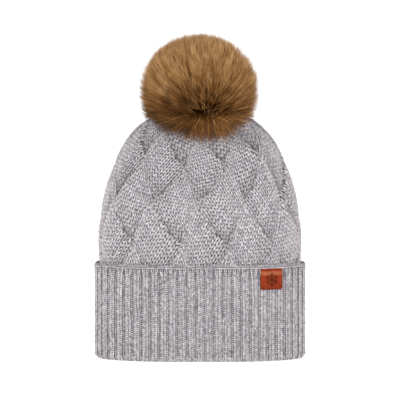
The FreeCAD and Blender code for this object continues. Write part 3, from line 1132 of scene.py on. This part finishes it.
def make_care_label():
    """A blank satin care label that hangs from its stitched top inside the hat."""
    columns, lines = 40, 60
    side = np.linspace(0, 1, columns)
    rise = np.linspace(0, 1, lines)
    across, up = np.meshgrid(side, rise)
    x = care_low[0] + across * (care_high[0] - care_low[0])
    z = care_low[2] + up * (care_high[2] - care_low[2])
    share = np.linspace(0.25, 0.75, 361)
    ring = sample(TABLE, share, np.full(share.shape, 50.0))
    at = np.interp(x, ring[::-1, 0], share[::-1])
    drape = 0.25 * np.sin(across * 6.0 + 0.7) * (1 - up) + 0.15 * np.sin(up * 7.0)
    inset = -(KNIT + 0.95 + drape)
    outer = crown_point(at, z, inset)
    inner = crown_point(at, z, inset - 0.22)
    label = grid_shell("care_label_satin", outer, inner, False)
    assign(label, satin_material())
    thread = thread_material("care_label_thread", (0.55, 0.54, 0.52), (0.80, 0.79, 0.77))
    span = np.linspace(-1, 1, 9)
    proud = -(KNIT + 1.35) + 0.45 * np.abs(span) ** 3
    stitches = []
    for index in range(6):
        at_x = care_low[0] + (index + 0.5) / 6 * (care_high[0] - care_low[0])
        middle = np.interp(at_x, ring[::-1, 0], share[::-1])
        path = crown_point(middle - span * 1.2 / BASE_LENGTH, np.full(9, care_high[2] - 3.0), proud)
        stitches.append(assign(tube("care_label_stitch_%d" % (index + 1), path, 0.3, 8), thread))
    return label, stitches


# --- the fur pom -----------------------------------------------------------

CORE = (backing_high[0] - backing_low[0]) / 2    # radius of the backing's ball
POM = np.array([0.0, 0.0, backing_high[2] - CORE])
POM_REACH = np.array([(fur_high[0] - fur_low[0]) / 2] * 2 + [fur_high[2] - POM[2]])
WHORL = unit(np.array([0.18, -0.40, -0.90]))     # the hairs fan out from here
SWEEP = math.radians(30)                         # how far they bend away from it
HAIRS = 34000
CLUMPS = 2800
HAIR_RINGS = np.array([0.0, 0.25, 0.48, 0.70, 0.87, 1.0])    # places along a hair
RINGS = len(HAIR_RINGS) - 1                      # rings of three points before the tip
OPEN_FOOT = math.radians(28)                     # no hair grows over the snap
STRAY_SHARE = 0.05                               # hairs that leave their clump
FRIZZ = 0.7                                      # waviness of the hairs
UNDERCOAT = 12.0                                 # length of the short fur


def crown_size_at(height):
    """Half width and half depth of the crown at given heights."""
    share = np.clip((height - TAPER_START) / (CROWN_TOP - TAPER_START), 0, 0.998)
    wide = CROWN_WIDE * (1 - share ** TAPER_POWER) ** (1 / TAPER_ROOT)
    return wide, wide * (CROWN_DEEP / CROWN_WIDE + TOP_ROUNDNESS * share ** 2)


def clear_of_crown(points, gap):
    """Hair points that would be in the crown, moved forward or back and a little up."""
    ray = points * (0.0, 1.0, 0.0) + (0.0, 0.0, 2.5)
    low = np.zeros(points.shape[:-1])
    high = np.full(points.shape[:-1], 20.0)

    def inside(reach):
        """Whether the points, moved this far along their rays, are in the crown."""
        x, y, z = np.moveaxis(points + ray * reach[..., None], -1, 0)
        wide, deep = crown_size_at(z)
        plan = (np.abs(x) / (wide + gap)) ** POWER + (np.abs(y) / (deep + gap)) ** POWER
        return (plan < 1) & (z < CROWN_TOP + gap)

    sunk = inside(low)
    for _ in range(14):
        middle = (low + high) / 2
        within = inside(middle)
        low = np.where(within, middle, low)
        high = np.where(within, high, middle)
    return np.where(sunk[..., None], points + ray * high[..., None], points)


def even_directions(count, seed):
    """Directions spread evenly over a ball, less the foot, slightly jittered."""
    wobble = np.random.default_rng(seed)
    index = np.arange(count) + 0.5
    lift = 1 - 2 * index / count
    turn = index * math.pi * (3 - math.sqrt(5))
    flat = np.sqrt(1 - lift ** 2)
    ways = np.stack([flat * np.cos(turn), flat * np.sin(turn), lift], -1)
    ways = unit(ways + wobble.normal(0, 1.1 / math.sqrt(count), ways.shape))
    return ways[ways[:, 2] > -math.cos(OPEN_FOOT)]


def hair_paths(ways, length, tilt):
    """Curved paths from the core out to the ball's surface, swept away from the whorl."""
    cosine = np.clip(ways @ WHORL, -1, 1)
    angle = np.arccos(cosine)
    away = unit(ways - cosine[:, None] * WHORL)
    bend = SWEEP * smooth_step(angle / math.radians(42))
    bend = bend * (1 - smooth_step((angle - math.radians(100)) / math.radians(80)))
    swept = np.cos(angle + bend)[:, None] * WHORL + np.sin(angle + bend)[:, None] * away
    swept = unit(swept + tilt)
    root = POM + ways * (CORE - 0.4)
    reach = POM_REACH * length[:, None]
    reach[:, 0] *= np.where(swept[:, 0] < 0, 1.045, 1.02)
    reach[:, 0] *= 1 + 0.07 * smooth_step(-swept[:, 2] * 1.6)
    reach[:, 2] *= 0.975 + 0.185 * smooth_step(-swept[:, 2] * 1.6)
    tip = POM + swept * reach
    first = root + ways * 17.0
    second = POM + unit(0.5 * ways + 0.5 * swept) * reach * 0.80
    along = HAIR_RINGS[None, :, None]
    path = (1 - along) ** 3 * root[:, None] + 3 * (1 - along) ** 2 * along * first[:, None]
    path = path + 3 * (1 - along) * along ** 2 * second[:, None] + along ** 3 * tip[:, None]
    return path


def hair_points(path, radius, wobble):
    """Points round each hair's path: three to a ring, thinning to one at the tip."""
    taper = 1 - 0.80 * HAIR_RINGS ** 1.6
    ahead = unit(np.gradient(path, axis=1))
    guide = unit(wobble.normal(0, 1, (len(path), 1, 3)))
    first = unit(np.cross(ahead, guide))
    second = np.cross(ahead, first)
    points = np.zeros((len(path), RINGS * 3 + 1, 3))
    for side in range(3):
        angle = 2 * math.pi * side / 3
        offset = first * math.cos(angle) + second * math.sin(angle)
        offset = offset * (radius[:, None] * taper[None, :])[..., None]
        points[:, side:RINGS * 3:3] = (path + offset)[:, :RINGS]
    points[:, -1] = path[:, -1]
    return points


def hair_faces():
    """Faces of one hair: its walls, its pointed tip and the cap at its root."""
    faces = []
    for ring in range(RINGS):
        low = ring * 3
        for side in range(3):
            after = (side + 1) % 3
            if ring < RINGS - 1:
                faces.append((low + side, low + after, low + 3 + after, low + 3 + side))
            else:
                faces.append((low + side, low + after, RINGS * 3))
    faces.append((2, 1, 0))
    return faces


def hair_tones(path, whorl, clump_tone, wobble):
    """Tone of each hair point from 0, dark, to 1, pale: painted shade deep in the pile and in the whorl,
    painted light on top, and painted shade low on the left.
    """
    depth = np.linalg.norm((path - POM) / POM_REACH, axis=-1)
    sideways, _, upward = np.moveaxis((path - POM) / POM_REACH, -1, 0)
    # painted shade deep in the pile, paler out at the tips, and painted light on the top and a little on
    # the right
    tone = 0.10 + 0.67 * smooth_step((depth - 0.42) / 0.62) + 0.25 * upward + 0.07 * sideways
    tone = tone + 0.20 * (clump_tone * (1 - 0.5 * whorl))[:, None]      # clump by clump
    tone = tone + 0.18 * wobble.normal(0, 1, len(path))[:, None]        # hair by hair
    # painted shade in the whorl, where the hairs part
    tone = tone - 0.31 * whorl[:, None] * (1 - 0.6 * HAIR_RINGS[None, :] ** 3)
    # painted shade low on the left
    tone = tone - 0.22 * np.clip(-1.3 * sideways, 0, 1) * np.clip(0.2 - upward, 0, 1)
    tones = np.concatenate([np.repeat(tone[:, :RINGS], 3, axis=1), tone[:, -1:]], axis=1)
    return np.clip(tones, 0, 1)


def make_fur():
    """Tapered hairs in clumps, in six pieces, with a tone for each point."""
    wobble = np.random.default_rng(77)
    clump_ways = even_directions(CLUMPS, 5)
    count = len(clump_ways)
    clump_length = wobble.uniform(0.955, 1.06, count)
    clump_path = hair_paths(clump_ways, clump_length, wobble.normal(0, 0.10, (count, 3)))
    clump_tone = wobble.normal(0, 1, count)
    ways = even_directions(HAIRS, 6)
    extra = even_directions(HAIRS, 9)
    near = (extra @ WHORL > 0.35) & (wobble.random(len(extra)) < 0.80)
    ways = np.concatenate([ways, extra[near]])
    count = len(ways)
    owner = np.argmax(unit(ways + wobble.normal(0, 0.02, ways.shape)) @ clump_ways.T, axis=1)
    length = clump_length[owner] * wobble.uniform(0.84, 1.03, count)
    stray = wobble.random(count) < STRAY_SHARE
    length = np.where(stray, wobble.uniform(1.0, 1.09, count), length)
    path = hair_paths(ways, length, wobble.normal(0, 0.045, (count, 3)))
    whorl = np.exp(-((1 - ways @ WHORL) / 0.42) ** 2)
    pull = np.where(stray, 0.15, wobble.uniform(0.40, 0.75, count) * (1 - 0.55 * whorl))[:, None, None]
    pull = pull * HAIR_RINGS[None, :, None] ** 1.3
    path = path + pull * (clump_path[owner] - path)
    frizz = wobble.normal(0, FRIZZ, path.shape) * HAIR_RINGS[None, :, None]
    path = path + frizz
    gap = 2.0 + 4.0 * wobble.random((count, 1))
    path[:, 1:] = clear_of_crown(path[:, 1:], gap)
    radius = wobble.uniform(0.24, 0.37, count)
    points = hair_points(path, radius, wobble)
    tones = hair_tones(path, whorl, clump_tone[owner], wobble)
    turn = np.arctan2(ways[:, 0], -ways[:, 1])
    order = np.argsort(turn)
    material = fur_material()
    pieces = []
    for number, pick in enumerate(np.array_split(order, 6)):
        piece = copies("fur_hairs_%d" % (number + 1), {"faces": hair_faces()}, points[pick])
        set_colours(piece, "tone", tones[pick].ravel())
        pieces.append(assign(piece, material))
    return pieces


def fur_material():
    """Golden brown fur: dark at the roots, painted shade that shows in the gaps, paler at the tips."""
    material, tree = new_material("golden_brown_fur")
    colour = ramp(tree, [(0.0, (0.045, 0.018, 0.0035)), (0.30, (0.125, 0.050, 0.0100)),
                         (0.55, (0.30, 0.130, 0.0320)), (0.80, (0.51, 0.262, 0.084)),
                         (1.0, (0.74, 0.460, 0.205))], point_colour(tree, "tone"))
    streaks = noise(tree, 420.0, 3.0, 0.6)
    fleck = ramp(tree, [(0.3, (0.80, 0.78, 0.76)), (0.7, (1.0, 1.0, 1.0))], streaks)
    return surface(material, multiply(tree, 0.7, colour, fleck), Roughness=0.55, Specular_IOR_Level=0.2)


def ball_grid(lines, columns, start, end):
    """Polar angles, turns and outward directions of a grid over a ball."""
    polar = np.linspace(start, end, lines)
    turn = 2 * math.pi * np.arange(columns) / columns
    turn_grid, polar_grid = np.meshgrid(turn, polar)
    flat = np.sin(polar_grid)
    way = np.stack([flat * np.sin(turn_grid), -flat * np.cos(turn_grid), np.cos(polar_grid)], -1)
    return polar_grid, turn_grid, way


def make_undercoat():
    """Short dense fur under the long hairs, open below over the snap."""
    lines, columns = 60, 120
    polar_grid, _, way = ball_grid(lines, columns, 0.01, math.pi - OPEN_FOOT * 0.98)
    wobble = np.random.default_rng(8)
    closing = smooth_step((math.pi - OPEN_FOOT - polar_grid) / 0.5)
    reach = CORE + 0.6 + (UNDERCOAT + wobble.normal(0, 0.9, polar_grid.shape)) * closing
    outer = clear_of_crown(POM + way * reach[..., None], np.array([[2.6]]))
    inner = POM + way * (CORE + 0.15)
    piece = grid_shell("fur_undercoat", outer, inner, True)
    # the undercoat takes the roots' dark tone, painted shade deep in the pile
    set_colours(piece, "tone", np.full(2 * lines * columns, 0.12))
    return assign(piece, bpy.data.materials["golden_brown_fur"])


def ball_profile(radius, start, end, count):
    """Points (radius, height) along a circle about the pom's middle, by angle from the top."""
    angles = np.linspace(start, end, count)
    return [(radius * math.sin(angle), POM[2] + radius * math.cos(angle)) for angle in angles]


def make_backing():
    """The fur's woven backing, gathered into a ball with pleats round its foot."""
    foot = backing_low[2]
    floor = foot + BACKING
    inner_core = CORE - BACKING
    drop = math.pi - math.acos((POM[2] - foot) / CORE)
    inner_drop = math.pi - math.acos((POM[2] - floor) / inner_core)
    edge = CORE * math.sin(drop)
    inner_edge = inner_core * math.sin(inner_drop) - 0.3
    profile = ball_profile(CORE, 0.02, drop, 40)
    profile += [(radius, foot) for radius in np.linspace(edge - 0.3, POST_HOLE, 14)]
    profile += [(radius, floor) for radius in np.linspace(POST_HOLE, inner_edge, 12)]
    profile += ball_profile(inner_core, inner_drop, 0.02, 30)

    def pleats(radius, height, angle):
        """The profile drawn into folds near the foot."""
        near_foot = smooth_step((foot + 9.0 - height) / 9.0) * smooth_step((radius - POST_HOLE) / 5.0)
        fold = 1 + np.cos(angle * 22 + 0.6 * np.sin(angle * 3))
        drawn_in = 0.35 * near_foot * fold * (height > foot + 0.5)
        lifted = 0.28 * near_foot * fold * (radius < edge)
        return radius - drawn_in, height + lifted

    woven = grain_material("woven_backing", (1600.0, 2.0, 0.5), (0.35, (0.16, 0.085, 0.04)),
                           (0.65, (0.25, 0.14, 0.07)), (0.6, 0.0004), Roughness=0.95)
    return assign(lathe("backing_ball", profile, 176, 0.0, 1, pleats), woven)


def make_stuffing():
    """The fibre ball that fills the backing, lumpy and flattened below."""
    polar_grid, turn_grid, way = ball_grid(40, 72, 0.02, math.pi - 0.02)
    radius = (stuffing_high[0] - stuffing_low[0]) / 2
    lumps = 0.35 * np.sin(5 * turn_grid + 2 * polar_grid) * np.sin(4 * polar_grid)
    reach = radius - 0.5 + lumps * np.sin(polar_grid)
    points = POM + way * reach[..., None]
    points[..., 2] = np.maximum(points[..., 2], stuffing_low[2] + 0.05)
    inner = POM + (points - POM) * 0.3
    inner[..., 2] = np.maximum(inner[..., 2], stuffing_low[2] + 1.0)
    fibre = grain_material("polyester_fibre", (700.0, 6.0, 0.8), (0.3, (0.70, 0.69, 0.67)),
                           (0.7, (0.86, 0.85, 0.84)), (0.6, 0.0008), Roughness=1.0)
    return assign(grid_shell("stuffing_ball", points, inner, True), fibre)


def belongs(pieces, body, node):
    """Pieces that ride a body and stand for a CAD node, which is hidden."""
    for piece in pieces:
        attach(piece, body)
        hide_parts(node)


crown_pieces = make_crown_stitches() + make_crown_fabric() + [make_strand_beds()]
belongs(crown_pieces, "hat", "crown_knit")
cuff_pieces = make_cuff_stitches() + make_selvedge() + [make_cuff_fabric()]
belongs(cuff_pieces, "hat", "turned_up_cuff")
belongs([make_band_fabric()], "hat", "inner_rib_band")
belongs(make_seam(), "hat", "centre_back_seam")

gather_ring = ring_of_plies("gathering_yarn", gather_low, gather_high, 9, YARN)
belongs(gather_ring, "hat", "crown_gathering_yarn")
belongs([make_felt()], "snap_base", "felt_washer")
nickel = metal_material()
for node in ("snap_cap", "snap_stud", "snap_socket", "snap_eyelet"):
    give_material(node, nickel)

brown_thread = thread_material("pom_thread", (0.06, 0.035, 0.02), (0.13, 0.08, 0.05))
thread_ring = ring_of_plies("pom_thread", thread_low, thread_high, 26, brown_thread)
belongs(thread_ring, "pom", "pom_gathering_thread")
belongs([make_backing()], "pom", "pom_backing")
stuffing = make_stuffing()
belongs([stuffing], "pom", "pom_stuffing")
belongs(make_fur() + [make_undercoat()], "pom", "fur_pile")

belongs([make_label()], "hat", "leather_label")
red_thread = thread_material("label_thread_spun", (0.16, 0.05, 0.02), (0.30, 0.10, 0.05))
give_material("label_stitches", red_thread)
care_label, care_stitches = make_care_label()
belongs([care_label], "hat", "care_label")
belongs(care_stitches, "hat", "care_label_stitches")

# --- studio ----------------------------------------------------------------


def make_studio():
    """A white floor that curves up behind the hat, and an even white sky."""
    white, tree = new_material("studio_white")
    shader = tree.nodes["Principled BSDF"]
    shader.inputs["Base Color"].default_value = (0.93, 0.93, 0.93, 1.0)
    shader.inputs["Roughness"].default_value = 0.9
    shader.inputs["Specular IOR Level"].default_value = 0.1
    shader.inputs["Emission Color"].default_value = (1.0, 1.0, 1.0, 1.0)
    shader.inputs["Emission Strength"].default_value = 0.35
    facing = tree.nodes.new("ShaderNodeNewGeometry")
    clear = tree.nodes.new("ShaderNodeBsdfTransparent")
    choice = tree.nodes.new("ShaderNodeMixShader")
    tree.links.new(facing.outputs["Backfacing"], choice.inputs["Fac"])
    tree.links.new(shader.outputs["BSDF"], choice.inputs[1])
    tree.links.new(clear.outputs["BSDF"], choice.inputs[2])
    tree.links.new(choice.outputs["Shader"], tree.nodes["Material Output"].inputs["Surface"])
    points = []
    for x in (-6.0, 6.0):
        for y, z in ((-8.0, 0.0), (2.0, 0.0), (2.9, 0.25), (3.4, 0.9), (3.5, 6.0)):
            points.append((x / MM, y / MM, z / MM - 0.15))
    faces = [(i, i + 5, i + 6, i + 1) for i in range(4)]
    floor = mesh_from_faces("studio_floor", np.array(points), faces)
    assign(floor, white)
    world = bpy.data.worlds.new("studio")
    world.use_nodes = True
    world.node_tree.nodes["Background"].inputs["Color"].default_value = (1.0, 1.0, 1.0, 1.0)
    world.node_tree.nodes["Background"].inputs["Strength"].default_value = 0.72
    bpy.context.scene.world = world
    bpy.context.scene.view_settings.view_transform = "Standard"


def add_light(name, place_at, target, size, power):
    """A rectangular lamp that faces the target."""
    light = bpy.data.lights.new(name, "AREA")
    light.shape = "RECTANGLE"
    light.size = size[0]
    light.size_y = size[1]
    light.energy = power
    lamp = bpy.data.objects.new(name, light)
    lamp.location = place_at
    lamp.rotation_euler = (Vector(target) - Vector(place_at)).to_track_quat("-Z", "Y").to_euler()
    bpy.context.scene.collection.objects.link(lamp)


def make_camera():
    """Long lens at the front, a few degrees up; 400 mm across the picture at the hat."""
    camera = bpy.data.cameras.new("camera")
    camera.lens = 300.0
    camera.sensor_width = 36.0
    view = bpy.data.objects.new("camera", camera)
    rise = math.radians(3.0)
    distance = 0.402 * camera.lens / camera.sensor_width
    aim = Vector((0.0, 0.0, 0.1577))
    view.location = aim + Vector((0.0, -distance * math.cos(rise), distance * math.sin(rise)))
    view.rotation_euler = (aim - view.location).to_track_quat("-Z", "Y").to_euler()
    bpy.context.scene.collection.objects.link(view)
    bpy.context.scene.camera = view


make_studio()
add_light("key_light", (-1.1, -2.8, 1.5), (0, 0, 0.15), (1.2, 1.2), 56)
add_light("fill_light", (1.8, -2.2, 0.9), (0, 0, 0.15), (1.2, 1.2), 24)
make_camera()
